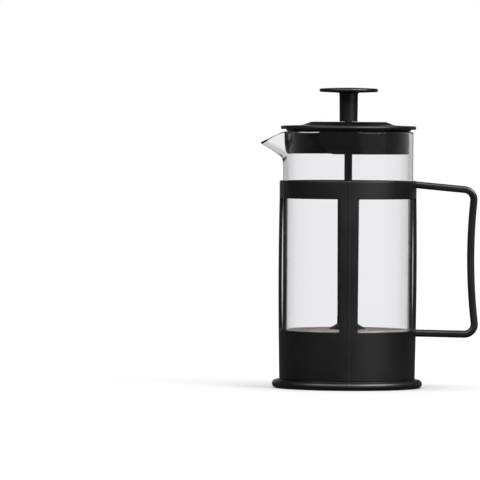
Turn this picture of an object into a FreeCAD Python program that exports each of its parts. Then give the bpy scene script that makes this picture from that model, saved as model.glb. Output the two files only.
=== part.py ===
"""French press with a moulded cage, a glass beaker, a lid and a filter plunger.

Millimetres, +Z up. The origin is the centre of the foot's flat underside.
The handle points to +X, the spout to -X, and the front is -Y.
Everything is at rest: beaker seated, lid on, plunger all the way down.
"""

import FreeCAD, Part
import math
import os

# Glass beaker
GLASS_DIAMETER = 70.0
GLASS_WALL = 1.8
GLASS_HEIGHT = 132.7
GLASS_FLOOR = 2.2
GLASS_HEEL = 7.0            # outer rounding where the wall meets the floor
GLASS_RIM_ROUND = 0.5

# Spout, drawn out of the beaker's wall
SPOUT_HALF_ANGLE = 21.0     # degrees each side of -X
SPOUT_SLOPE = 1.65          # outward run of its underside per unit of height
SPOUT_KNEE_DEPTH = 13.8     # where the underside turns outward, below the rim
SPOUT_KNEE_SOFTNESS = 1.5
SPOUT_ROOT_DEPTH = 21.7     # where the spout leaves the wall, below the rim
SPOUT_LIP_START = 1.0       # where the lip begins to fall, inside the outer wall
SPOUT_LIP_ANGLE = 25.5      # degrees below the level
SPOUT_LIP_BEND = 4.0        # radius of the lip's first bend, seen from the side
SPOUT_FLOOR_LIFT = 1.0      # how much higher its inner surface lies, along Z

# Holder: foot, cup, straps and upper band in one moulding
GLASS_FIT = 0.35            # radial gap between the glass and the holder
HOLDER_WALL = 1.5
CUP_HEIGHT = 31.0
CUP_FLOOR = 2.0             # thickness of the floor, whose underside is flat
SEAT_RISE = 2.0             # height of the ring on the floor that carries the cushion
SEAT_MARGIN = 1.0           # how far that ring stands out on both sides of the cushion
CUP_TAPER = 0.45            # how much smaller the cup's outer radius is at its foot
CUP_LIP = 0.1               # how much the cup's top stands outside the band
FOOT_FLARE = 3.55           # how far the foot stands outside the holder's wall
FOOT_HEIGHT = 4.4
GROOVE_DEPTH = 0.4
GROOVE_HEIGHT = 0.6
BAND_DEPTH = 26.3           # from the glass rim down to the band's top
BAND_HEIGHT = 9.6
BAND_EDGE_ROUND = 0.4
STRAP_WIDTH_TOP = 10.4
STRAP_WIDTH_BOTTOM = 9.8
STRAP_BOW = 0.35            # how far the straps bulge outward half-way up
WINDOW_CORNER = 0.8
WINDOW_EDGE_ROUND = 0.3
CUSHION_THICKNESS = 1.0
CUSHION_WIDTH = 8.0

# Handle
HANDLE_THICKNESS = 3.7
HANDLE_WIDTH = 9.0
HANDLE_EDGE_ROUND = 1.3
HANDLE_REACH = 29.35        # from the holder's wall to the grip's centreline at its waist
HANDLE_WAIST_DROP = 0.1     # how far the waist lies below the middle of the arms
HANDLE_GRIP_RADIUS = 300.0
HANDLE_CORNER_RADIUS = 5.5
HANDLE_TOP_SLOPE = 5.3      # degrees that the upper arm falls, going outward
HANDLE_BOTTOM_SLOPE = 1.0
HANDLE_TOP_INSET = 0.1      # from the band's top down to the arm's upper face
HANDLE_BOTTOM_RISE = 0.45   # from the cup's top up to the arm's upper face
HANDLE_SET_IN = 0.85        # depth of the pockets that hold its ends

# Lid
SEAT_GAP = 0.3              # between the glass rim and the lid's pads
LID_OVERHANG = 1.45         # how far the lid stands outside the glass
LID_EDGE = 1.9
LID_EDGE_ROUND = 0.75
LID_CROWN = 0.5
LID_WALL = 1.6
PLATEAU_INSET = 11.75       # from the lid's edge to the foot of the plateau's side
PLATEAU_SIDE = 4.5          # width of that sloping side
PLATEAU_HEIGHT = 1.75
PLATEAU_ROUND = 1.2
PLATEAU_FILLET = 6.0        # where the sloping side runs out into the flange
BOSS_WALL = 2.0
BOSS_DEPTH = 6.0            # below the plateau's underside
PAD_COUNT = 8
PAD_ANGLE = 21.0
PAD_THICKNESS = 0.9
PAD_TURN = 22.5             # first pad, degrees from the front towards +X
PAD_CORNER = 1.5
PAD_SETBACK = 2.0           # from the lid's edge to the pads' outer edge
PAD_ROOT = 0.7              # how far the full flange stands outside the skirt
SKIRT_FIT = 0.5             # radial gap between the skirt and the glass
SKIRT_WALL = 1.5
SKIRT_DEPTH = 12.3          # below the pads' underside
SKIRT_EDGE_ROUND = 0.6
POUR_TURN = -44.5           # centre of the pour opening, degrees from the front
POUR_TOP_ANGLE = 30.0
POUR_BOTTOM_ANGLE = 57.0
POUR_TOP_MARGIN = 1.2
POUR_FLARE = 0.3            # share of the flare that is reached half-way down
SLOT_COUNT = 9
SLOT_PITCH = 5.5            # degrees
SLOT_WIDTH = 1.6
SLOT_TOP_MARGIN = 2.2
SLOT_BOTTOM_MARGIN = 2.6

# Plunger
ROD_DIAMETER = 4.2
RUNNING_FIT = 0.05          # radial gap of a shaft in its hole
THREAD_FIT = 0.03           # radial gap between a thread and its nut
BUSH_WALL = 1.5
BUSH_FLANGE = 2.4
BUSH_FLANGE_THICKNESS = 1.0
KNOB_GAP = 0.1
KNOB_DISC_DIAMETER = 31.6
KNOB_DISC_EDGE = 1.9
KNOB_DOME = 0.5
KNOB_UNDERCUT = 0.4
KNOB_STEM_TOP_DIAMETER = 10.1
KNOB_STEM_BOTTOM_DIAMETER = 9.7
KNOB_STEM_LENGTH = 15.5
KNOB_STEM_FILLET = 0.8
INSERT_WALL = 1.22
INSERT_LENGTH = 9.0
INSERT_SETBACK = 2.5
ROD_IN_INSERT = 8.0

# Filter
FILTER_FIT = 0.3            # radial gap between the mesh and the glass
FILTER_HEIGHT = 24.4        # from the glass's inner floor up to the mesh's upper face
HUB_DIAMETER = 11.0
HUB_HEIGHT = 8.0
HUB_CHAMFER = 0.8
HUB_SKIRT_DIAMETER = 19.6
HUB_SKIRT_HEIGHT = 2.9
HUB_SKIRT_EDGE = 0.3
MESH_THICKNESS = 0.4
MESH_LIP = 2.4
MESH_ROUND = 1.5
SPRING_WIRE_CIRCLE = 1.5    # outer diameter of the coil
SPRING_CLEARANCE = 0.2
PLATE_THICKNESS = 0.4
PLATE_RIM_GAP = 0.08
PLATE_HOLE_DIAMETER = 3.2
PLATE_HOLE_START = 9.5       # radius of the inmost circle of holes
PLATE_HOLE_STEP = 6.5        # from one circle to the next
PLATE_HOLE_COUNT = 10        # on the inmost circle
PLATE_HOLES_ADDED = 8        # on each circle more than on the one inside it
PLATE_HOLE_MARGIN = 3.0      # least width of plate outside the holes
CROSS_THICKNESS = 0.8
CROSS_RIM = 2.6
CROSS_HUB = 7.5             # radius of the solid middle
CROSS_SPOKE = 4.5
CROSS_SPOKE_COUNT = 4
CROSS_INSET = 0.8           # from the plate's edge to the cross's edge
NUT_FLATS = 8.0
NUT_HEIGHT = 3.2
ROD_TAIL = 0.9              # what shows of the rod below the nut

# Places that follow from the sizes
GLASS_RADIUS = GLASS_DIAMETER / 2
GLASS_BORE = GLASS_RADIUS - GLASS_WALL
HOLDER_BORE = GLASS_RADIUS + GLASS_FIT
HOLDER_RADIUS = HOLDER_BORE + HOLDER_WALL
FOOT_RADIUS = HOLDER_RADIUS + FOOT_FLARE
CUSHION_RADIUS = GLASS_RADIUS - GLASS_HEEL
SEAT_TOP = CUP_FLOOR + SEAT_RISE
GLASS_BASE = SEAT_TOP + CUSHION_THICKNESS
GLASS_TOP = GLASS_BASE + GLASS_HEIGHT
BAND_TOP = GLASS_TOP - BAND_DEPTH
WAIST_REACH = HOLDER_RADIUS + HANDLE_REACH
WAIST_HEIGHT = (BAND_TOP + CUP_HEIGHT) / 2 - HANDLE_WAIST_DROP
PAD_BASE = GLASS_TOP + SEAT_GAP
LID_BASE = PAD_BASE + PAD_THICKNESS
LID_RADIUS = GLASS_RADIUS + LID_OVERHANG
PAD_RADIUS = LID_RADIUS - PAD_SETBACK
LID_EDGE_TOP = LID_BASE + LID_EDGE
CROWN_TOP = LID_EDGE_TOP + LID_CROWN
PLATEAU_TOP = CROWN_TOP + PLATEAU_HEIGHT
PLATEAU_BASE_RADIUS = LID_RADIUS - PLATEAU_INSET
PLATEAU_TOP_RADIUS = PLATEAU_BASE_RADIUS - PLATEAU_SIDE
BOSS_BASE = PLATEAU_TOP - LID_WALL - BOSS_DEPTH
ROD_RADIUS = ROD_DIAMETER / 2
BUSH_BORE = ROD_RADIUS + RUNNING_FIT
BUSH_RADIUS = BUSH_BORE + BUSH_WALL
BOSS_BORE = BUSH_RADIUS + RUNNING_FIT
KNOB_BASE = PLATEAU_TOP + KNOB_GAP
INSERT_BASE = KNOB_BASE + INSERT_SETBACK
ROD_TOP = INSERT_BASE + ROD_IN_INSERT
SKIRT_RADIUS = GLASS_BORE - SKIRT_FIT
SKIRT_BASE = PAD_BASE - SKIRT_DEPTH
MESH_TOP = GLASS_BASE + GLASS_FLOOR + FILTER_HEIGHT
MESH_BASE = MESH_TOP - MESH_THICKNESS
MESH_RADIUS = GLASS_BORE - FILTER_FIT
COIL_RADIUS = SPRING_WIRE_CIRCLE / 2
COIL_CENTRE = MESH_RADIUS - MESH_THICKNESS - SPRING_CLEARANCE - COIL_RADIUS
COIL_HEIGHT = MESH_BASE - SPRING_CLEARANCE - COIL_RADIUS
PLATE_RADIUS = COIL_CENTRE - COIL_RADIUS - PLATE_RIM_GAP
PLATE_BASE = MESH_BASE - PLATE_THICKNESS
CROSS_BASE = PLATE_BASE - CROSS_THICKNESS
NUT_BASE = CROSS_BASE - NUT_HEIGHT
ROD_BASE = NUT_BASE - ROD_TAIL
THREAD_BORE = ROD_RADIUS + THREAD_FIT
INSERT_RADIUS = THREAD_BORE + INSERT_WALL

AXIS_START = FreeCAD.Vector(0, 0, 0)
UP = FreeCAD.Vector(0, 0, 1)
SAME = 1e-4                 # two lengths closer than this are one
BEYOND = GLASS_DIAMETER + GLASS_HEIGHT    # reaches past the whole press


def at(radius, height):
    """Point of an outline, in the plane through the axis."""
    return FreeCAD.Vector(radius, 0, height)


def path(start, steps):
    """Wire through the steps: a step is an end point, or (point on an arc, end of the arc)."""
    edges = []
    here = start
    for step in steps:
        if isinstance(step, tuple):
            through, end = step
            edges.append(Part.Arc(here, through, end).toShape())
        else:
            end = step
            edges.append(Part.LineSegment(here, end).toShape())
        here = end
    return Part.Wire(edges)


def bend_point(centre, radius, degrees):
    """Point of a circle in the plane through the axis; 0 points outward, 90 up."""
    turn = math.radians(degrees)
    return at(centre.x + radius * math.cos(turn), centre.z + radius * math.sin(turn))


def turned(start, steps):
    """Solid turned about the Z axis from a closed outline."""
    outline = path(start, steps + [start])
    return Part.Face(outline).revolve(AXIS_START, UP, 360)


def turned_corners(corners):
    """Solid turned about the Z axis from straight-sided (radius, height) corners."""
    points = [at(radius, height) for radius, height in corners]
    return turned(points[0], points[1:])


def tube(outer, inner, base, top):
    """Ring with square edges about the Z axis."""
    return turned_corners([(inner, base), (outer, base), (outer, top), (inner, top)])


def rim_edges(solid, rims):
    """Circular edges about the Z axis at the given (radius, height) places."""
    chosen = []
    for radius, height in rims:
        for edge in solid.Edges:
            if edge.Degenerated:
                continue
            curve = edge.Curve
            if not isinstance(curve, Part.Circle):
                continue
            off_axis = math.hypot(curve.Center.x, curve.Center.y)
            if max(off_axis, abs(curve.Center.z - height), abs(curve.Radius - radius)) < SAME:
                chosen.append(edge)
    return chosen


def around(shape, degrees):
    """Copy of a shape turned about the Z axis."""
    copy = shape.copy()
    copy.rotate(AXIS_START, UP, degrees)
    return copy


def from_front(degrees):
    """Direction about Z, in degrees from +X, of an angle given from the front towards +X."""
    return degrees - 90


# Holder -------------------------------------------------------------------

def holder_shell():
    """Foot, floor with the ring for the cushion, and one closed wall up to the band's top."""
    edge = FOOT_HEIGHT / 2
    cup_foot = HOLDER_RADIUS + CUP_LIP - CUP_TAPER
    seat_outer = CUSHION_RADIUS + SEAT_MARGIN
    seat_inner = CUSHION_RADIUS - CUSHION_WIDTH - SEAT_MARGIN
    corner = at(HOLDER_RADIUS - BAND_EDGE_ROUND, BAND_TOP - BAND_EDGE_ROUND)
    window_top = BAND_TOP - BAND_HEIGHT
    half_way = (CUP_HEIGHT + window_top) / 2
    steps = [
        at(FOOT_RADIUS - edge, 0),
        (at(FOOT_RADIUS, edge), at(FOOT_RADIUS - edge, FOOT_HEIGHT)),
        at(cup_foot - GROOVE_DEPTH, FOOT_HEIGHT),
        at(cup_foot - GROOVE_DEPTH, FOOT_HEIGHT + GROOVE_HEIGHT / 2),
        at(cup_foot, FOOT_HEIGHT + GROOVE_HEIGHT),
        at(HOLDER_RADIUS + CUP_LIP, CUP_HEIGHT),
        (at(HOLDER_RADIUS + STRAP_BOW, half_way), at(HOLDER_RADIUS, window_top)),
        at(HOLDER_RADIUS, corner.z),
        (bend_point(corner, BAND_EDGE_ROUND, 45), at(corner.x, BAND_TOP)),
        at(HOLDER_BORE, BAND_TOP),
        at(HOLDER_BORE, window_top),
        (at(HOLDER_BORE + STRAP_BOW, half_way), at(HOLDER_BORE, CUP_HEIGHT)),
        at(HOLDER_BORE, CUP_FLOOR),
        at(seat_outer, CUP_FLOOR),
        at(seat_outer, SEAT_TOP),
        at(seat_inner, SEAT_TOP),
        at(seat_inner, CUP_FLOOR),
        at(0, CUP_FLOOR),
    ]
    return turned(at(0, 0), steps)


def window_cutter():
    """Space between two straps, in the quarter between +X and +Y."""
    levels = ((CUP_HEIGHT, STRAP_WIDTH_BOTTOM / 2), (BAND_TOP - BAND_HEIGHT, STRAP_WIDTH_TOP / 2))
    squares = []
    for height, side in levels:
        corners = ((side, side), (BEYOND, side), (BEYOND, BEYOND), (side, BEYOND), (side, side))
        squares.append(Part.makePolygon([FreeCAD.Vector(x, y, height) for x, y in corners]))
    block = Part.makeLoft(squares, True, True)
    corners = []
    for edge in block.Edges:
        middle = edge.BoundBox.Center
        beside_strap = min(middle.x, middle.y) < max(STRAP_WIDTH_TOP, STRAP_WIDTH_BOTTOM) / 2 + SAME
        if beside_strap and edge.BoundBox.ZLength < SAME:
            corners.append(edge)
    return block.makeFillet(WINDOW_CORNER, corners)


def window_edges(shell):
    """Edges of the windows on the outside of the wall."""
    chosen = []
    for edge in shell.Edges:
        box = edge.BoundBox
        inside = box.ZMin > CUP_HEIGHT - SAME and box.ZMax < BAND_TOP - BAND_HEIGHT + SAME
        middle = edge.valueAt((edge.FirstParameter + edge.LastParameter) / 2)
        if inside and math.hypot(middle.x, middle.y) > HOLDER_RADIUS - SAME:
            chosen.append(edge)
    return chosen


def holder_frame(handle):
    frame = holder_shell()
    cutter = window_cutter()
    for quarter in range(4):
        frame = frame.cut(around(cutter, 90 * quarter))
    frame = frame.makeFillet(WINDOW_EDGE_ROUND, window_edges(frame))
    return frame.cut(handle)


def beaker_cushion():
    """Soft ring that the glass stands on, inside the flat part of its base."""
    return tube(CUSHION_RADIUS, CUSHION_RADIUS - CUSHION_WIDTH, SEAT_TOP, GLASS_BASE)


# Handle -------------------------------------------------------------------

def handle_corner(wall_point, slope, down):
    """Bend between an arm and the grip: its ends and a point between, arm side first.

    The bend's circle touches the arm's line and, from outside, the grip's circle.
    """
    grip_centre = at(WAIST_REACH + HANDLE_GRIP_RADIUS, WAIST_HEIGHT)
    turn = math.radians(slope)
    along = at(math.cos(turn), -math.sin(turn))
    inward = at(-math.sin(turn), -math.cos(turn)) * down
    start = wall_point + inward * HANDLE_CORNER_RADIUS - grip_centre
    reach = HANDLE_GRIP_RADIUS + HANDLE_CORNER_RADIUS
    half = start.dot(along)
    run = -half - math.sqrt(half * half - start.dot(start) + reach * reach)
    centre = grip_centre + start + along * run
    towards_grip = (grip_centre - centre).normalize()
    middle = (towards_grip - inward).normalize()
    ends = [centre - inward * HANDLE_CORNER_RADIUS, centre + towards_grip * HANDLE_CORNER_RADIUS]
    return [ends[0], centre + middle * HANDLE_CORNER_RADIUS, ends[1]]


def handle_route():
    """Centreline of the bar, from the band round to the cup."""
    half = HANDLE_THICKNESS / 2
    root = HOLDER_RADIUS - HANDLE_SET_IN
    upper = at(root, BAND_TOP - HANDLE_TOP_INSET - half)
    lower = at(root, CUP_HEIGHT + HANDLE_BOTTOM_RISE - half)
    top = handle_corner(upper, HANDLE_TOP_SLOPE, 1)
    bottom = handle_corner(lower, HANDLE_BOTTOM_SLOPE, -1)
    waist = at(WAIST_REACH, WAIST_HEIGHT)
    steps = [top[0], (top[1], top[2]), (waist, bottom[2]), (bottom[1], bottom[0]), lower]
    return path(upper, steps)


def handle_section(place, direction):
    """Rounded rectangle across the route's start."""
    across = FreeCAD.Vector(0, 1, 0)
    side = direction.cross(across)
    straight_y = HANDLE_WIDTH / 2 - HANDLE_EDGE_ROUND
    straight_z = HANDLE_THICKNESS / 2 - HANDLE_EDGE_ROUND
    diagonal = HANDLE_EDGE_ROUND * math.sqrt(0.5)
    edges = []
    for flip_y, flip_z in ((1, 1), (-1, 1), (-1, -1), (1, -1)):
        first = (flip_y * (straight_y + HANDLE_EDGE_ROUND), flip_z * straight_z)
        between = (flip_y * (straight_y + diagonal), flip_z * (straight_z + diagonal))
        last = (flip_y * straight_y, flip_z * (straight_z + HANDLE_EDGE_ROUND))
        points = [place + across * y + side * z for y, z in (first, between, last)]
        if flip_y * flip_z < 0:
            points.reverse()
        edges.append(points)
    shapes = []
    for index, points in enumerate(edges):
        shapes.append(Part.Arc(*points).toShape())
        following = edges[(index + 1) % len(edges)][0]
        shapes.append(Part.LineSegment(points[2], following).toShape())
    return Part.Wire(shapes)


def handle():
    route = handle_route()
    start = route.Edges[0]
    section = handle_section(start.valueAt(start.FirstParameter), start.tangentAt(start.FirstParameter))
    return route.makePipeShell([section], True, True)


# Beaker -------------------------------------------------------------------

def spout_reach(height):
    """How far the spout's underside stands outside the wall at a height."""
    def knee(level):
        above = level - (GLASS_TOP - SPOUT_KNEE_DEPTH)
        return SPOUT_SLOPE / 2 * (above + math.hypot(above, SPOUT_KNEE_SOFTNESS))
    return knee(height) - knee(GLASS_TOP - SPOUT_ROOT_DEPTH)


def beaker_section(radius, reach, height):
    """Level outline of the wall: a circle with the spout's nose towards -X."""
    nose_steps = 12
    back_steps = 24
    nose = [SPOUT_HALF_ANGLE * index / nose_steps for index in range(-nose_steps, nose_steps)]
    back_span = 360 - 2 * SPOUT_HALF_ANGLE
    back = [SPOUT_HALF_ANGLE + back_span * index / back_steps for index in range(back_steps)]
    points = []
    for degrees in nose + back:
        share = min(abs(degrees) / SPOUT_HALF_ANGLE, 1)
        distance = radius + reach * math.cos(share * math.pi / 2) ** 2
        turn = math.radians(180 + degrees)
        points.append(FreeCAD.Vector(distance * math.cos(turn), distance * math.sin(turn), height))
    knots = nose + back + [360 - SPOUT_HALF_ANGLE]
    curve = Part.BSplineCurve()
    curve.interpolate(Points=points, PeriodicFlag=True, Parameters=knots)
    return Part.Wire(curve.toShape())


def beaker_skin(radius, heel, base, lift):
    """The beaker's outside or inside as a solid, run on past the rim."""
    root = GLASS_TOP - SPOUT_ROOT_DEPTH
    lower = Part.Face(beaker_section(radius, 0, base)).extrude(UP * (root - base))
    bottom = [edge for edge in lower.Edges if edge.BoundBox.ZMax < base + SAME]
    lower = lower.makeFillet(heel, bottom)
    count = 12
    step = (SPOUT_ROOT_DEPTH + GLASS_WALL) / count
    sections = [beaker_section(radius, 0, root)]
    for index in range(1, count + 1):
        height = root + step * index
        reach = max(spout_reach(height - lift), 0)
        sections.append(beaker_section(radius, reach, height))
    return lower.fuse(Part.makeLoft(sections, True, False))


def above_rim():
    """Everything above the rim, whose line falls along the spout."""
    level = -(GLASS_RADIUS - SPOUT_LIP_START)
    turn = math.radians(SPOUT_LIP_ANGLE)
    centre = at(level, GLASS_TOP - SPOUT_LIP_BEND)
    bend_end = bend_point(centre, SPOUT_LIP_BEND, 90 + SPOUT_LIP_ANGLE)
    run = BEYOND - abs(bend_end.x)
    far = at(-BEYOND, bend_end.z - run * math.tan(turn))
    steps = [
        at(level, GLASS_TOP),
        (bend_point(centre, SPOUT_LIP_BEND, 90 + SPOUT_LIP_ANGLE / 2), bend_end),
        far,
        at(-BEYOND, GLASS_TOP + BEYOND),
        at(BEYOND, GLASS_TOP + BEYOND),
        at(BEYOND, GLASS_TOP),
    ]
    side = Part.Face(path(at(BEYOND, GLASS_TOP), steps))
    side.translate(FreeCAD.Vector(0, -BEYOND, 0))
    return side.extrude(FreeCAD.Vector(0, 2 * BEYOND, 0))


def glass_beaker():
    outside = beaker_skin(GLASS_RADIUS, GLASS_HEEL, GLASS_BASE, 0)
    heel = GLASS_HEEL - GLASS_WALL
    inside = beaker_skin(GLASS_BORE, heel, GLASS_BASE + GLASS_FLOOR, SPOUT_FLOOR_LIFT)
    glass = outside.cut(inside).cut(above_rim())
    lowest = GLASS_TOP - SPOUT_KNEE_DEPTH
    rim = [edge for edge in glass.Edges if edge.BoundBox.ZMin > lowest]
    return glass.makeFillet(GLASS_RIM_ROUND, rim)


# Lid ----------------------------------------------------------------------

def lid_cover():
    """Thin flange, raised plateau and the boss that holds the rod's bush."""
    boss_radius = BOSS_BORE + BOSS_WALL
    under = PLATEAU_TOP - LID_WALL
    cover = turned_corners([
        (BOSS_BORE, BOSS_BASE),
        (boss_radius, BOSS_BASE),
        (boss_radius, under),
        (PLATEAU_TOP_RADIUS - LID_WALL / 2, under),
        (PLATEAU_BASE_RADIUS - LID_WALL / 2, LID_BASE),
        (LID_RADIUS, LID_BASE),
        (LID_RADIUS, LID_EDGE_TOP),
        (PLATEAU_BASE_RADIUS, CROWN_TOP),
        (PLATEAU_TOP_RADIUS, PLATEAU_TOP),
        (BOSS_BORE, PLATEAU_TOP),
    ])
    cover = cover.makeFillet(PLATEAU_ROUND, rim_edges(cover, [(PLATEAU_TOP_RADIUS, PLATEAU_TOP)]))
    cover = cover.makeFillet(PLATEAU_FILLET, rim_edges(cover, [(PLATEAU_BASE_RADIUS, CROWN_TOP)]))
    flange = [(LID_RADIUS, LID_BASE), (LID_RADIUS, LID_EDGE_TOP)]
    return cover.makeFillet(LID_EDGE_ROUND, rim_edges(cover, flange))


def seat_pad():
    """One pad of the skirt's flange, pointing to +X."""
    inner = SKIRT_RADIUS - SKIRT_WALL / 2
    half = math.radians(PAD_ANGLE / 2)
    arms = []
    for side in (-1, 1):
        turn = side * half
        towards = FreeCAD.Vector(math.cos(turn), math.sin(turn), 0)
        arms.append([towards * radius + UP * PAD_BASE for radius in (inner, PAD_RADIUS)])
    outline = Part.Wire([
        Part.LineSegment(arms[0][0], arms[0][1]).toShape(),
        Part.Arc(arms[0][1], FreeCAD.Vector(PAD_RADIUS, 0, PAD_BASE), arms[1][1]).toShape(),
        Part.LineSegment(arms[1][1], arms[1][0]).toShape(),
        Part.Arc(arms[1][0], FreeCAD.Vector(inner, 0, PAD_BASE), arms[0][0]).toShape(),
    ])
    pad = Part.Face(outline).extrude(UP * PAD_THICKNESS)
    corners = []
    for edge in pad.Edges:
        middle = edge.BoundBox.Center
        if edge.BoundBox.ZLength > SAME and math.hypot(middle.x, middle.y) > PAD_RADIUS - SAME:
            corners.append(edge)
    return pad.makeFillet(PAD_CORNER, corners)


def pour_cutter():
    """Bell-shaped opening that flares to the skirt's lower edge, pointing to +X."""
    top = PAD_BASE - POUR_TOP_MARGIN
    narrow = SKIRT_RADIUS * math.sin(math.radians(POUR_TOP_ANGLE / 2))
    wide = SKIRT_RADIUS * math.sin(math.radians(POUR_BOTTOM_ANGLE / 2))
    middle = (top + SKIRT_BASE) / 2
    inner = (SKIRT_RADIUS - SKIRT_WALL) * math.cos(math.radians(POUR_BOTTOM_ANGLE))

    def point(side, height):
        return FreeCAD.Vector(inner, side, height)

    below = SKIRT_BASE - SKIRT_WALL
    shoulder = narrow + (wide - narrow) * POUR_FLARE
    edges = [
        Part.LineSegment(point(-narrow, top), point(narrow, top)).toShape(),
        Part.Arc(point(narrow, top), point(shoulder, middle), point(wide, SKIRT_BASE)).toShape(),
        Part.LineSegment(point(wide, SKIRT_BASE), point(wide, below)).toShape(),
        Part.LineSegment(point(wide, below), point(-wide, below)).toShape(),
        Part.LineSegment(point(-wide, below), point(-wide, SKIRT_BASE)).toShape(),
        Part.Arc(point(-wide, SKIRT_BASE), point(-shoulder, middle), point(-narrow, top)).toShape(),
    ]
    return Part.Face(Part.Wire(edges)).extrude(FreeCAD.Vector(SKIRT_RADIUS, 0, 0))


def strainer_slot():
    """One upright slot through the skirt, pointing to +X."""
    base = SKIRT_BASE + SLOT_BOTTOM_MARGIN
    height = PAD_BASE - SLOT_TOP_MARGIN - base
    corner = FreeCAD.Vector(SKIRT_RADIUS - 2 * SKIRT_WALL, -SLOT_WIDTH / 2, base)
    return Part.makeBox(3 * SKIRT_WALL, SLOT_WIDTH, height, corner)


def lid_skirt():
    """Ring inside the glass, with the pads that rest on the rim."""
    bore = SKIRT_RADIUS - SKIRT_WALL
    skirt = turned_corners([
        (bore, SKIRT_BASE),
        (SKIRT_RADIUS, SKIRT_BASE),
        (SKIRT_RADIUS, PAD_BASE),
        (SKIRT_RADIUS + PAD_ROOT, PAD_BASE),
        (SKIRT_RADIUS + PAD_ROOT, LID_BASE),
        (bore, LID_BASE),
    ])
    lower = [(bore, SKIRT_BASE), (SKIRT_RADIUS, SKIRT_BASE)]
    skirt = skirt.makeFillet(SKIRT_EDGE_ROUND, rim_edges(skirt, lower))
    pad = seat_pad()
    for index in range(PAD_COUNT):
        skirt = skirt.fuse(around(pad, from_front(PAD_TURN + 360 / PAD_COUNT * index)))
    skirt = skirt.cut(around(pour_cutter(), from_front(POUR_TURN)))
    slot = strainer_slot()
    for index in range(SLOT_COUNT):
        turn = POUR_TURN + 180 + SLOT_PITCH * (index - (SLOT_COUNT - 1) / 2)
        skirt = skirt.cut(around(slot, from_front(turn)))
    return skirt


def lid_bush():
    """Bush with a flange under the boss, a running fit on the rod and in the lid."""
    flange_top = BOSS_BASE - KNOB_GAP
    flange_base = flange_top - BUSH_FLANGE_THICKNESS
    top = PLATEAU_TOP - KNOB_GAP
    return turned_corners([
        (BUSH_BORE, flange_base),
        (BUSH_RADIUS + BUSH_FLANGE, flange_base),
        (BUSH_RADIUS + BUSH_FLANGE, flange_top),
        (BUSH_RADIUS, flange_top),
        (BUSH_RADIUS, top),
        (BUSH_BORE, top),
    ])


# Plunger ------------------------------------------------------------------

def knob():
    """Thin domed disc on a slightly tapered stem, hollow for the rod and its insert."""
    disc_radius = KNOB_DISC_DIAMETER / 2
    stem_top = KNOB_BASE + KNOB_STEM_LENGTH
    edge_base = stem_top + KNOB_UNDERCUT
    edge_middle = edge_base + KNOB_DISC_EDGE / 2
    edge_top = edge_base + KNOB_DISC_EDGE
    shoulder = disc_radius - KNOB_DISC_EDGE / 2
    crown = edge_top + KNOB_DOME
    sphere = (shoulder ** 2 + KNOB_DOME ** 2) / (2 * KNOB_DOME)
    halfway = shoulder / 2
    sagitta = sphere - math.sqrt(sphere ** 2 - halfway ** 2)
    insert_top = INSERT_BASE + INSERT_LENGTH
    body = turned(at(BUSH_BORE, KNOB_BASE), [
        at(KNOB_STEM_BOTTOM_DIAMETER / 2, KNOB_BASE),
        at(KNOB_STEM_TOP_DIAMETER / 2, stem_top),
        at(shoulder, edge_base),
        (at(disc_radius, edge_middle), at(shoulder, edge_top)),
        (at(halfway, crown - sagitta), at(0, crown)),
        at(0, insert_top),
        at(INSERT_RADIUS, insert_top),
        at(INSERT_RADIUS, INSERT_BASE),
        at(BUSH_BORE, INSERT_BASE),
    ])
    return body.makeFillet(KNOB_STEM_FILLET, rim_edges(body, [(KNOB_STEM_TOP_DIAMETER / 2, stem_top)]))


def knob_insert():
    return tube(INSERT_RADIUS, THREAD_BORE, INSERT_BASE, INSERT_BASE + INSERT_LENGTH)


def plunger_rod():
    return Part.makeCylinder(ROD_RADIUS, ROD_TOP - ROD_BASE, at(0, ROD_BASE))


def filter_hub():
    """Round hub that spreads into a thin-edged cone on the mesh."""
    return turned_corners([
        (THREAD_BORE, MESH_TOP),
        (HUB_SKIRT_DIAMETER / 2, MESH_TOP),
        (HUB_SKIRT_DIAMETER / 2, MESH_TOP + HUB_SKIRT_EDGE),
        (HUB_DIAMETER / 2, MESH_TOP + HUB_SKIRT_HEIGHT),
        (HUB_DIAMETER / 2, MESH_TOP + HUB_HEIGHT - HUB_CHAMFER),
        (HUB_DIAMETER / 2 - HUB_CHAMFER, MESH_TOP + HUB_HEIGHT),
        (THREAD_BORE, MESH_TOP + HUB_HEIGHT),
    ])


def filter_mesh():
    """Screen pressed into a shallow cap, its edge turned down beside the glass."""
    inner_round = MESH_ROUND - MESH_THICKNESS
    centre = at(MESH_RADIUS - MESH_ROUND, MESH_TOP - MESH_ROUND)
    lip_base = MESH_TOP - MESH_LIP
    return turned(at(THREAD_BORE, MESH_BASE), [
        at(centre.x, MESH_BASE),
        (bend_point(centre, inner_round, 45), at(centre.x + inner_round, centre.z)),
        at(centre.x + inner_round, lip_base),
        at(MESH_RADIUS, lip_base),
        at(MESH_RADIUS, centre.z),
        (bend_point(centre, MESH_ROUND, 45), at(centre.x, MESH_TOP)),
        at(THREAD_BORE, MESH_TOP),
    ])


def edge_spring():
    """Outer shape of the coil that runs round under the mesh's edge."""
    return Part.makeTorus(COIL_CENTRE, COIL_RADIUS, at(0, COIL_HEIGHT))


def spiral_plate():
    """Thin plate with rings of holes."""
    plate = tube(PLATE_RADIUS, THREAD_BORE, PLATE_BASE, MESH_BASE)
    radius = PLATE_HOLE_START
    count = PLATE_HOLE_COUNT
    while radius + PLATE_HOLE_DIAMETER / 2 + PLATE_HOLE_MARGIN < PLATE_RADIUS:
        hole = Part.makeCylinder(PLATE_HOLE_DIAMETER / 2, PLATE_THICKNESS, at(radius, PLATE_BASE))
        for index in range(count):
            plate = plate.cut(around(hole, 360 / count * index))
        radius += PLATE_HOLE_STEP
        count += PLATE_HOLES_ADDED
    return plate


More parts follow.
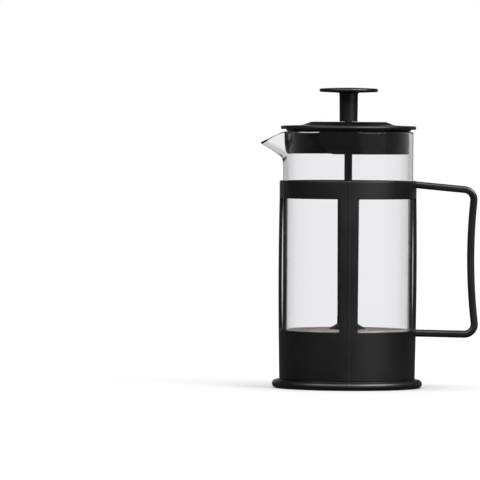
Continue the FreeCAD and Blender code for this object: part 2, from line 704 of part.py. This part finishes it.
def cross_plate():
    """Clamping plate: a rim and a middle joined by spokes."""
    outer = PLATE_RADIUS - CROSS_INSET
    plate = tube(outer, THREAD_BORE, CROSS_BASE, PLATE_BASE)
    opening = tube(outer - CROSS_RIM, CROSS_HUB, CROSS_BASE, PLATE_BASE)
    for index in range(CROSS_SPOKE_COUNT // 2):
        corner = FreeCAD.Vector(-outer, -CROSS_SPOKE / 2, CROSS_BASE)
        spoke = Part.makeBox(2 * outer, CROSS_SPOKE, CROSS_THICKNESS, corner)
        opening = opening.cut(around(spoke, 360 / CROSS_SPOKE_COUNT * index))
    return plate.cut(opening)


def hub_nut():
    corner_radius = NUT_FLATS / math.sqrt(3)
    corners = []
    for index in range(7):
        turn = math.radians(60 * index)
        corner = FreeCAD.Vector(math.cos(turn), math.sin(turn), 0) * corner_radius
        corners.append(corner + UP * NUT_BASE)
    block = Part.Face(Part.makePolygon(corners)).extrude(UP * NUT_HEIGHT)
    return block.cut(Part.makeCylinder(THREAD_BORE, NUT_HEIGHT, at(0, NUT_BASE)))


def build():
    """Every node of the press, by name."""
    bar = handle()
    return {
        "holder_frame": holder_frame(bar),
        "handle": bar,
        "beaker_cushion": beaker_cushion(),
        "glass_beaker": glass_beaker(),
        "lid_cover": lid_cover(),
        "lid_skirt": lid_skirt(),
        "lid_bush": lid_bush(),
        "knob": knob(),
        "knob_insert": knob_insert(),
        "plunger_rod": plunger_rod(),
        "filter_hub": filter_hub(),
        "filter_mesh": filter_mesh(),
        "spiral_plate": spiral_plate(),
        "edge_spring": edge_spring(),
        "cross_plate": cross_plate(),
        "hub_nut": hub_nut(),
    }


os.makedirs("parts", exist_ok=True)
for name, shape in build().items():
    shape.exportStep(f"parts/{name}.step")
    print(f"{name:16s} solids {len(shape.Solids)} valid {shape.isValid()} volume {shape.Volume:9.1f}")
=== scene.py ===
"""French press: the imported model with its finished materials, glass, coil, floor and light."""
import math

import bpy
from mathutils import Euler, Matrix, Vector


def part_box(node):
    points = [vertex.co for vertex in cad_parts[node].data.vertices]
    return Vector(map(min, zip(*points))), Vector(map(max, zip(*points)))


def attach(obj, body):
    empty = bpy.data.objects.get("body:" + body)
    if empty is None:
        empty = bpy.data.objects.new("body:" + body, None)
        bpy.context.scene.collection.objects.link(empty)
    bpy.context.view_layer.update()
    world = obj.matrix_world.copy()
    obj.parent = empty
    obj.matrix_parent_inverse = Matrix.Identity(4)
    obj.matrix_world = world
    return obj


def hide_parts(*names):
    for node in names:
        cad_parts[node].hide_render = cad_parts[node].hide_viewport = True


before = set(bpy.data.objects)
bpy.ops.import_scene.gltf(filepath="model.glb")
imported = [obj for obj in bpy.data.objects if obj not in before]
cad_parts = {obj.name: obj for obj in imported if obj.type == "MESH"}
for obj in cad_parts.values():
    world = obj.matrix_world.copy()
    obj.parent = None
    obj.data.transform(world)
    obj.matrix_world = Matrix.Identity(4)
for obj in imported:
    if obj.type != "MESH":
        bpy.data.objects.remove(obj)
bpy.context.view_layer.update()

MM = 0.001

# Camera -------------------------------------------------------------------
CAMERA_PLACE = Vector((-58.0, -3040.0, 145.6)) * MM
CAMERA_PITCH = 1.253        # degrees below the level
CAMERA_ROLL = 0.35          # degrees
CAMERA_SENSOR = 36          # mm, and the lens too, as Blender has them
CAMERA_LENS = 423.75
CAMERA_FAR = 200            # metres, past the floor's edge

# Floor and light ----------------------------------------------------------
FLOOR_REACH = 40.0          # metres each way
FLOOR_COLOUR = (0.93, 0.93, 0.93, 1)
BACKDROP = 1.0              # what the camera sees, also through the glass
MATT_LIGHT = 1.08           # what matt surfaces get from all round
STUDIO_DARK = 0.06          # what gloss reflects between the lights
STUDIO_GLASS = 0.65         # what is reflected in a ray's first glass wall and just behind it
WALL_REFRACTIONS = 2.5      # a ray refracted more often than this is past that
LIGHT_AIM = Vector((0, 0, 80.0)) * MM

# Plastic, metal and mesh --------------------------------------------------
BLACK = (0.004, 0.004, 0.004)
# the lid plastic made a touch darker for the skirt: painted shade, as the skirt sits in shade behind the
# glass
PAINTED_SHADE_BLACK = (0.003, 0.003, 0.003)
EDGE_ROUND = 0.3 * MM       # how the edges of mouldings take the light
SKIRT_EDGE_ROUND = 0.5 * MM
EDGE_SAMPLES = 4
GRAIN = 0.35 * MM
GRAIN_DEPTH = 0.006 * MM
GLOSS_CHANGES = 45.0        # scale of the slow changes in a moulding's gloss
PARTING_WIDTH = 0.5 * MM    # from the middle of the line that the mould's halves leave
PARTING_HEIGHT = 0.2 * MM
METAL_GRAIN = 300.0
METAL_SPREAD = 0.08         # of the roughness, either way
WEAVE_SCALE = 500.0
WEAVE_DEPTH = 0.1 * MM

# Glass --------------------------------------------------------------------
GLASS_WALL = 1.8 * MM
GLASS_FLOOR = 2.2 * MM
GLASS_HEEL = 7.0 * MM       # outer rounding where the wall meets the floor
RIM_ROUND = 0.9 * MM
SPOUT_HALF_ANGLE = math.radians(21)         # each side of -X
SPOUT_SLOPE = 1.65                          # outward run of its underside per unit of height
SPOUT_KNEE_DEPTH = 13.8 * MM                # where the underside turns outward, below the rim
SPOUT_KNEE_SOFTNESS = 1.5 * MM
SPOUT_ROOT_DEPTH = 21.7 * MM                # where the spout leaves the wall, below the rim
SPOUT_LIP_START = 1.0 * MM                  # where the lip begins to fall, inside the outer wall
SPOUT_LIP_ANGLE = math.radians(25.5)        # below the level
SPOUT_LIP_BEND = 4.0 * MM                   # radius of the lip's first bend, seen from the side
SPOUT_FLOOR_LIFT = 1.0 * MM                 # how much higher its inner surface lies, along Z

HEEL_STEPS = 10
WALL_STEPS = 5              # from the heel up to the spout's root
SIDE_STEPS = 40             # from the spout's root up to the rim
RIM_STEPS = 5               # from either side to the rim's crest
NOSE_STEPS = 60             # round half the spout
BACK_STEPS = 150            # round the rest of the beaker
HALVINGS = 40               # in the search for where a wall meets the rim

# Edge spring --------------------------------------------------------------
SPRING_WIRE = 0.4 * MM
SPRING_TURNS = 190
TURN_STEPS = 12
WIRE_SIDES = 6


# Materials ----------------------------------------------------------------

def new_material(name):
    """A node material and its Principled shader."""
    material = bpy.data.materials.new(name)
    material.use_nodes = True
    shader = material.node_tree.nodes["Principled BSDF"]
    return material, shader


def add(material, kind, **values):
    """A node with its plain settings; an input is given by its name."""
    node = material.node_tree.nodes.new(kind)
    for key, value in values.items():
        if key in node.bl_rna.properties:
            setattr(node, key, value)
        else:
            node.inputs[key].default_value = value
    return node


def link(material, source, target):
    material.node_tree.links.new(source, target)


def vary_gloss(material, shader, pattern, roughness, spread):
    """Roughness that follows a noise, up to a spread either side of its middle."""
    gloss = add(material, "ShaderNodeMapRange")
    gloss.inputs["To Min"].default_value = roughness - spread
    gloss.inputs["To Max"].default_value = roughness + spread
    link(material, pattern.outputs["Fac"], gloss.inputs["Value"])
    link(material, gloss.outputs["Result"], shader.inputs["Roughness"])


def parting_line(material, place):
    """Fine ridge where the two halves of the mould met, down the middle of the front and the back."""
    axes = add(material, "ShaderNodeSeparateXYZ")
    link(material, place.outputs["Object"], axes.inputs["Vector"])
    aside = add(material, "ShaderNodeMath", operation="ABSOLUTE")
    link(material, axes.outputs["X"], aside.inputs[0])
    ridge = add(material, "ShaderNodeMapRange", interpolation_type="SMOOTHSTEP")
    ridge.inputs["From Max"].default_value = PARTING_WIDTH
    ridge.inputs["To Min"].default_value = 1.0
    ridge.inputs["To Max"].default_value = 0.0
    link(material, aside.outputs["Value"], ridge.inputs["Value"])
    bump = add(material, "ShaderNodeBump", Distance=PARTING_HEIGHT, Strength=1.0)
    link(material, ridge.outputs["Result"], bump.inputs["Height"])
    return bump


def moulded(name, colour, roughness, shine=0.5, spread=0.05, rounding=EDGE_ROUND, parting=False):
    """Moulded plastic: soft edges, fine grain, and gloss that varies slowly over the surface."""
    material, shader = new_material(name)
    place = add(material, "ShaderNodeTexCoord")
    fine = add(material, "ShaderNodeTexNoise", Scale=1 / GRAIN, Detail=3.0)
    slow = add(material, "ShaderNodeTexNoise", Scale=GLOSS_CHANGES, Detail=3.0)
    link(material, place.outputs["Object"], fine.inputs["Vector"])
    link(material, place.outputs["Object"], slow.inputs["Vector"])
    vary_gloss(material, shader, slow, roughness, spread)
    relief = add(material, "ShaderNodeBevel", Radius=rounding, samples=EDGE_SAMPLES)
    if parting:
        line = parting_line(material, place)
        link(material, relief.outputs["Normal"], line.inputs["Normal"])
        relief = line
    bump = add(material, "ShaderNodeBump", Distance=GRAIN_DEPTH, Strength=1.0)
    link(material, relief.outputs["Normal"], bump.inputs["Normal"])
    link(material, fine.outputs["Fac"], bump.inputs["Height"])
    link(material, bump.outputs["Normal"], shader.inputs["Normal"])
    shader.inputs["Base Color"].default_value = (*colour, 1)
    shader.inputs["IOR"].default_value = 1.49
    shader.inputs["Specular IOR Level"].default_value = shine
    return material


def metal(name, colour, roughness):
    """Worked metal with fine changes in its gloss."""
    material, shader = new_material(name)
    place = add(material, "ShaderNodeTexCoord")
    grain = add(material, "ShaderNodeTexNoise", Scale=METAL_GRAIN, Detail=4.0)
    link(material, place.outputs["Object"], grain.inputs["Vector"])
    vary_gloss(material, shader, grain, roughness, METAL_SPREAD)
    shader.inputs["Base Color"].default_value = (*colour, 1)
    shader.inputs["Metallic"].default_value = 1.0
    return material


def clear_glass():
    """Glass with a trace of blue and weak reflections."""
    material, shader = new_material("clear_glass")
    shader.inputs["Base Color"].default_value = (0.922, 0.923, 0.935, 1)
    shader.inputs["Transmission Weight"].default_value = 1.0
    shader.inputs["Roughness"].default_value = 0.0
    shader.inputs["IOR"].default_value = 1.47
    shader.inputs["Specular Tint"].default_value = (0.27, 0.27, 0.27, 1)
    return material


def woven():
    """Fine screen, with painted shade between its wires."""
    material, shader = new_material("woven_steel")
    place = add(material, "ShaderNodeTexCoord")
    waves = []
    for axis in ("X", "Y"):
        wave = add(material, "ShaderNodeTexWave", bands_direction=axis, Scale=WEAVE_SCALE)
        link(material, place.outputs["Object"], wave.inputs["Vector"])
        waves.append(wave)
    weave = add(material, "ShaderNodeMath", operation="MAXIMUM")
    link(material, waves[0].outputs["Fac"], weave.inputs[0])
    link(material, waves[1].outputs["Fac"], weave.inputs[1])
    bump = add(material, "ShaderNodeBump", Distance=WEAVE_DEPTH, Strength=0.8)
    link(material, weave.outputs["Value"], bump.inputs["Height"])
    link(material, bump.outputs["Normal"], shader.inputs["Normal"])
    # colour follows the weave's height: painted shade in the low parts between the wires, the steel's
    # own warm grey on the wires
    wire_colour_and_painted_shade = add(material, "ShaderNodeMix", data_type="RGBA")
    wire_colour_and_painted_shade.inputs["A"].default_value = (0.16, 0.11, 0.10, 1)
    wire_colour_and_painted_shade.inputs["B"].default_value = (0.72, 0.64, 0.62, 1)
    link(material, weave.outputs["Value"], wire_colour_and_painted_shade.inputs["Factor"])
    link(material, wire_colour_and_painted_shade.outputs["Result"], shader.inputs["Base Color"])
    shader.inputs["Metallic"].default_value = 0.5
    shader.inputs["Roughness"].default_value = 0.45
    return material


def finish_nodes():
    """Gives each CAD node that stays its material."""
    steel = metal("sheet_steel", (0.56, 0.55, 0.54), 0.30)
    finishes = {
        "holder_frame": moulded("cage_plastic", BLACK, 0.38, spread=0.12, parting=True),
        "handle": moulded("handle_plastic", BLACK, 0.38, spread=0.12),
        "beaker_cushion": moulded("cushion_silicone", (0.03, 0.03, 0.03), 0.65),
        "lid_cover": moulded("lid_plastic", BLACK, 0.34, spread=0.06),
        # the skirt gets the darker black, a painted shade for its place behind the glass
        "lid_skirt": moulded("skirt_plastic", PAINTED_SHADE_BLACK, 0.32, shine=0.12, rounding=SKIRT_EDGE_ROUND),
        "lid_bush": moulded("bush_plastic", (0.02, 0.02, 0.02), 0.45),
        "knob": moulded("knob_plastic", BLACK, 0.36, spread=0.08),
        "knob_insert": metal("brass", (0.72, 0.49, 0.22), 0.30),
        "plunger_rod": moulded("rod_black", (0.008, 0.008, 0.008), 0.30),
        "filter_hub": moulded("hub_plastic", BLACK, 0.40),
        "filter_mesh": woven(),
        "spiral_plate": steel,
        "cross_plate": steel,
        "hub_nut": steel,
    }
    for name, material in finishes.items():
        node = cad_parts[name]
        node.data.materials.clear()
        node.data.materials.append(material)


# Beaker -------------------------------------------------------------------

def spout_reach(height, top):
    """How far the spout stands outside the round wall at a height."""
    def knee(level):
        above = level - (top - SPOUT_KNEE_DEPTH)
        return SPOUT_SLOPE / 2 * (above + math.hypot(above, SPOUT_KNEE_SOFTNESS))
    return max(knee(height) - knee(top - SPOUT_ROOT_DEPTH), 0)


def wall_radius(radius, height, top, angle):
    """Radius of the wall at a height, angle measured from the spout's middle."""
    share = min(angle / SPOUT_HALF_ANGLE, 1)
    return radius + spout_reach(height, top) * math.cos(share * math.pi / 2) ** 2


def rim_height(forward, top, radius):
    """Height of the rim's line, which falls along the spout; forward is from the axis."""
    out = forward - (radius - SPOUT_LIP_START)
    bend = SPOUT_LIP_BEND * math.sin(SPOUT_LIP_ANGLE)
    if out <= 0:
        return top
    if out < bend:
        return top - SPOUT_LIP_BEND + math.sqrt(SPOUT_LIP_BEND ** 2 - out ** 2)
    fall = SPOUT_LIP_BEND * (1 - math.cos(SPOUT_LIP_ANGLE))
    return top - fall - (out - bend) * math.tan(SPOUT_LIP_ANGLE)


def rim_meeting(radius, lift, top, rim_radius, angle):
    """Height where the wall meets the rim's line."""
    low = top - SPOUT_ROOT_DEPTH
    high = top
    for _ in range(HALVINGS):
        height = (low + high) / 2
        distance = wall_radius(radius, height - lift, top, angle)
        if height < rim_height(distance * math.cos(angle), top, rim_radius):
            low = height
        else:
            high = height
    return (low + high) / 2


def bezier(start, control, end, share):
    """Point on the curve from start to end that bends towards the control point."""
    return start.lerp(control, share).lerp(control.lerp(end, share), share)


def resample(points, count):
    """The same line with evenly spaced points."""
    lengths = [0]
    for here, there in zip(points, points[1:]):
        lengths.append(lengths[-1] + (there - here).length)
    result = []
    index = 0
    for step in range(count + 1):
        wanted = lengths[-1] * step / count
        while index < len(points) - 2 and lengths[index + 1] < wanted:
            index += 1
        run = lengths[index + 1] - lengths[index]
        result.append(points[index].lerp(points[index + 1], (wanted - lengths[index]) / run))
    return result


def lower_side(radius, heel, base, root):
    """Outer or inner surface, from the middle of the floor to just below the spout's root."""
    points = [(0.0, base), ((radius - heel) / 2, base)]
    for step in range(HEEL_STEPS + 1):
        turn = math.pi / 2 * step / HEEL_STEPS
        points.append((radius - heel * (1 - math.sin(turn)), base + heel * (1 - math.cos(turn))))
    for step in range(1, WALL_STEPS):
        points.append((radius, base + heel + (root - base - heel) * step / WALL_STEPS))
    return points


def upper_side(radius, lift, top, rim_radius, angle):
    """Outer or inner surface, from the spout's root to the rim's line."""
    root = top - SPOUT_ROOT_DEPTH
    end = rim_meeting(radius, lift, top, rim_radius, angle)
    points = []
    for step in range(SIDE_STEPS + 1):
        height = root + (end - root) * step / SIDE_STEPS
        points.append(Vector((wall_radius(radius, height - lift, top, angle), height)))
    return points


def shortened(side):
    """The side up to where the rim's rounding starts."""
    end = side[-1]
    kept = side[:-1]
    while (end - kept[-1]).length < RIM_ROUND:
        kept.pop()
    run = (end - kept[-1]).length
    kept.append(kept[-1].lerp(end, (run - RIM_ROUND) / run))
    return resample(kept, SIDE_STEPS)


def beaker_column(angle, low, top, radius):
    """Outline of the beaker at one angle: (distance, height) from its base over the rim to its floor."""
    bore = radius - GLASS_WALL
    root = top - SPOUT_ROOT_DEPTH
    outside = upper_side(radius, 0, top, radius, angle)
    inside = upper_side(bore, SPOUT_FLOOR_LIFT, top, radius, angle)
    outer = shortened(outside)
    inner = shortened(inside)
    crest = (outside[-1] + inside[-1]) / 2
    points = lower_side(radius, GLASS_HEEL, low, root) + outer
    for step in range(1, RIM_STEPS + 1):
        points.append(bezier(outer[-1], outside[-1], crest, step / RIM_STEPS))
    for step in range(1, RIM_STEPS):
        points.append(bezier(crest, inside[-1], inner[-1], step / RIM_STEPS))
    points += reversed(inner)
    points += reversed(lower_side(bore, GLASS_HEEL - GLASS_WALL, low + GLASS_FLOOR, root))
    return points


def mesh_object(name, points, faces):
    """A smooth mesh in the scene."""
    mesh = bpy.data.meshes.new(name)
    mesh.from_pydata(points, [], faces)
    mesh.validate()
    for polygon in mesh.polygons:
        polygon.use_smooth = True
    piece = bpy.data.objects.new(name, mesh)
    bpy.context.scene.collection.objects.link(piece)
    return piece


def drawn_beaker():
    """The beaker with its spout towards -X, as columns of points joined round the axis."""
    low_corner, high_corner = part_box("glass_beaker")
    radius = high_corner.y
    low = low_corner.z
    top = high_corner.z
    back_span = 2 * math.pi - 2 * SPOUT_HALF_ANGLE
    nose = [SPOUT_HALF_ANGLE * index / NOSE_STEPS for index in range(-NOSE_STEPS, NOSE_STEPS)]
    back = [SPOUT_HALF_ANGLE + back_span * index / BACK_STEPS for index in range(BACK_STEPS)]
    angles = nose + back
    columns = []
    for angle in angles:
        from_spout = min(abs(angle), 2 * math.pi - abs(angle))
        columns.append(beaker_column(from_spout, low, top, radius))
    points = [(0, 0, columns[0][0][1]), (0, 0, columns[0][-1][1])]
    for angle, column in zip(angles, columns):
        for distance, height in column[1:-1]:
            points.append((-distance * math.cos(angle), -distance * math.sin(angle), height))
    rows = len(columns[0]) - 2
    faces = []
    for index in range(len(angles)):
        here = 2 + index * rows
        there = 2 + (index + 1) % len(angles) * rows
        faces.append((0, there, here))
        for row in range(rows - 1):
            faces.append((here + row, there + row, there + row + 1, here + row + 1))
        faces.append((here + rows - 1, there + rows - 1, 1))
    return mesh_object("beaker_glass", points, faces)


# Spring -------------------------------------------------------------------

def coil_centres(low, high):
    """The wire's middle line, wound round and round the ring that the box holds."""
    coil = (high.z - low.z) / 2
    ring = high.x - coil
    level = (low.z + high.z) / 2
    winding = coil - SPRING_WIRE / 2
    count = SPRING_TURNS * TURN_STEPS
    centres = []
    for index in range(count):
        turn = 2 * math.pi * index / TURN_STEPS
        angle = 2 * math.pi * index / count
        distance = ring + winding * math.cos(turn)
        height = level + winding * math.sin(turn)
        centres.append(Vector((distance * math.cos(angle), distance * math.sin(angle), height)))
    return centres


def coiled_spring():
    """Wire wound along the ring that the edge spring fills."""
    centres = coil_centres(*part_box("edge_spring"))
    count = len(centres)
    points = []
    faces = []
    for index, centre in enumerate(centres):
        along = (centres[(index + 1) % count] - centres[index - 1]).normalized()
        side = along.cross(Vector((0, 0, 1))).normalized()
        up = side.cross(along)
        here = index * WIRE_SIDES
        there = (index + 1) % count * WIRE_SIDES
        for part in range(WIRE_SIDES):
            turn = 2 * math.pi * part / WIRE_SIDES
            after = (part + 1) % WIRE_SIDES
            points.append(centre + (side * math.cos(turn) + up * math.sin(turn)) * SPRING_WIRE / 2)
            faces.append((here + part, here + after, there + after, there + part))
    return mesh_object("edge_coil", points, faces)


# Studio -------------------------------------------------------------------

def studio_world():
    """White for the camera, through the glass and for matt surfaces.

    Gloss sees a dark room instead, with soft lights in it. In a ray's first glass wall and just
    behind it that room is pale, so that the glass stays clear.
    """
    world = bpy.data.worlds.new("studio")
    world.use_nodes = True
    bpy.context.scene.world = world
    nodes = world.node_tree.nodes
    links = world.node_tree.links

    def mixed(factor, without, within):
        """The first value where the factor is 0, the second where it is 1 or more."""
        mix = nodes.new("ShaderNodeMix")
        links.new(factor, mix.inputs["Factor"])
        for name, value in (("A", without), ("B", within)):
            if isinstance(value, float):
                mix.inputs[name].default_value = value
            else:
                links.new(value, mix.inputs[name])
        return mix.outputs["Result"]

    rays = nodes.new("ShaderNodeLightPath")
    behind = nodes.new("ShaderNodeMath")
    behind.operation = "GREATER_THAN"
    behind.inputs[1].default_value = WALL_REFRACTIONS
    links.new(rays.outputs["Transmission Depth"], behind.inputs[0])
    in_glass = mixed(rays.outputs["Transmission Depth"], STUDIO_DARK, STUDIO_GLASS)
    reflected = mixed(behind.outputs["Value"], in_glass, STUDIO_DARK)
    seen = mixed(rays.outputs["Glossy Depth"], BACKDROP, reflected)
    strength = mixed(rays.outputs["Is Diffuse Ray"], seen, MATT_LIGHT)
    background = nodes["Background"]
    background.inputs["Color"].default_value = (1, 1, 1, 1)
    links.new(strength, background.inputs["Strength"])


def softbox(name, azimuth, elevation, distance, size, brightness, gloss=True, through=False):
    """Area light that faces the press, for gloss or for matt surfaces.

    Azimuth is in degrees from the front, elevation in degrees from the level, and the size is
    (width, height). A light that is through shows through the glass as well.
    """
    width, height = size
    light = bpy.data.lights.new(name, "AREA")
    light.shape = "RECTANGLE"
    light.size = width
    light.size_y = height
    light.energy = brightness * math.pi * width * height
    turn = math.radians(azimuth)
    rise = math.radians(elevation)
    level = math.cos(rise)
    direction = Vector((math.sin(turn) * level, -math.cos(turn) * level, math.sin(rise)))
    lamp = bpy.data.objects.new(name, light)
    bpy.context.scene.collection.objects.link(lamp)
    lamp.location = LIGHT_AIM + direction * distance
    lamp.rotation_euler = direction.to_track_quat("Z", "Y").to_euler()
    lamp.visible_camera = False
    lamp.visible_transmission = through
    lamp.visible_glossy = gloss
    lamp.visible_diffuse = not gloss


def studio_lights():
    """Key and fill from either side, a low one for upright faces, three behind, one for matt faces."""
    softbox("key", 47, 42, distance=3.0, size=(3.0, 1.6), brightness=12.5, through=True)
    softbox("fill", -37, 42, distance=3.0, size=(3.4, 1.7), brightness=5.2, through=True)
    softbox("low", 45, 5, distance=3.0, size=(2.6, 0.8), brightness=0.9)
    softbox("back_left", -150, 4, distance=2.0, size=(1.8, 0.4), brightness=0.15)
    softbox("back_right", 150, 4, distance=2.0, size=(1.8, 0.4), brightness=0.15)
    softbox("horizon", -170, 8, distance=2.0, size=(1.0, 0.3), brightness=0.9)
    softbox("shaper", 50, 40, distance=1.6, size=(0.6, 0.6), brightness=5.0, gloss=False)


def floor():
    """Pale matt square that gloss and glass don't see."""
    mesh = bpy.data.meshes.new("floor")
    low = -FLOOR_REACH
    high = FLOOR_REACH
    corners = [(low, low, 0), (high, low, 0), (high, high, 0), (low, high, 0)]
    mesh.from_pydata(corners, [], [(0, 1, 2, 3)])
    ground = bpy.data.objects.new("floor", mesh)
    bpy.context.scene.collection.objects.link(ground)
    material, shader = new_material("floor")
    shader.inputs["Base Color"].default_value = FLOOR_COLOUR
    shader.inputs["Roughness"].default_value = 1.0
    shader.inputs["Specular IOR Level"].default_value = 0.0
    mesh.materials.append(material)
    ground.visible_glossy = False
    ground.visible_transmission = False


def camera():
    """Long lens from afar, nearly level."""
    data = bpy.data.cameras.new("camera")
    data.sensor_width = CAMERA_SENSOR
    data.lens = CAMERA_LENS
    data.clip_end = CAMERA_FAR
    view = bpy.data.objects.new("camera", data)
    bpy.context.scene.collection.objects.link(view)
    tilt = Euler((math.radians(90 - CAMERA_PITCH), 0, 0)).to_matrix()
    roll = Euler((0, 0, math.radians(CAMERA_ROLL))).to_matrix()
    view.rotation_euler = (tilt @ roll).to_euler()
    view.location = CAMERA_PLACE
    bpy.context.scene.camera = view


finish_nodes()

beaker = drawn_beaker()
beaker.data.materials.append(clear_glass())
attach(beaker, "beaker")
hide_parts("glass_beaker")

coil = coiled_spring()
coil.data.materials.append(metal("spring_steel", (0.5, 0.49, 0.48), 0.25))
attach(coil, "plunger")
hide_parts("edge_spring")

bpy.context.scene.view_settings.view_transform = "Standard"
floor()
studio_world()
studio_lights()
camera()
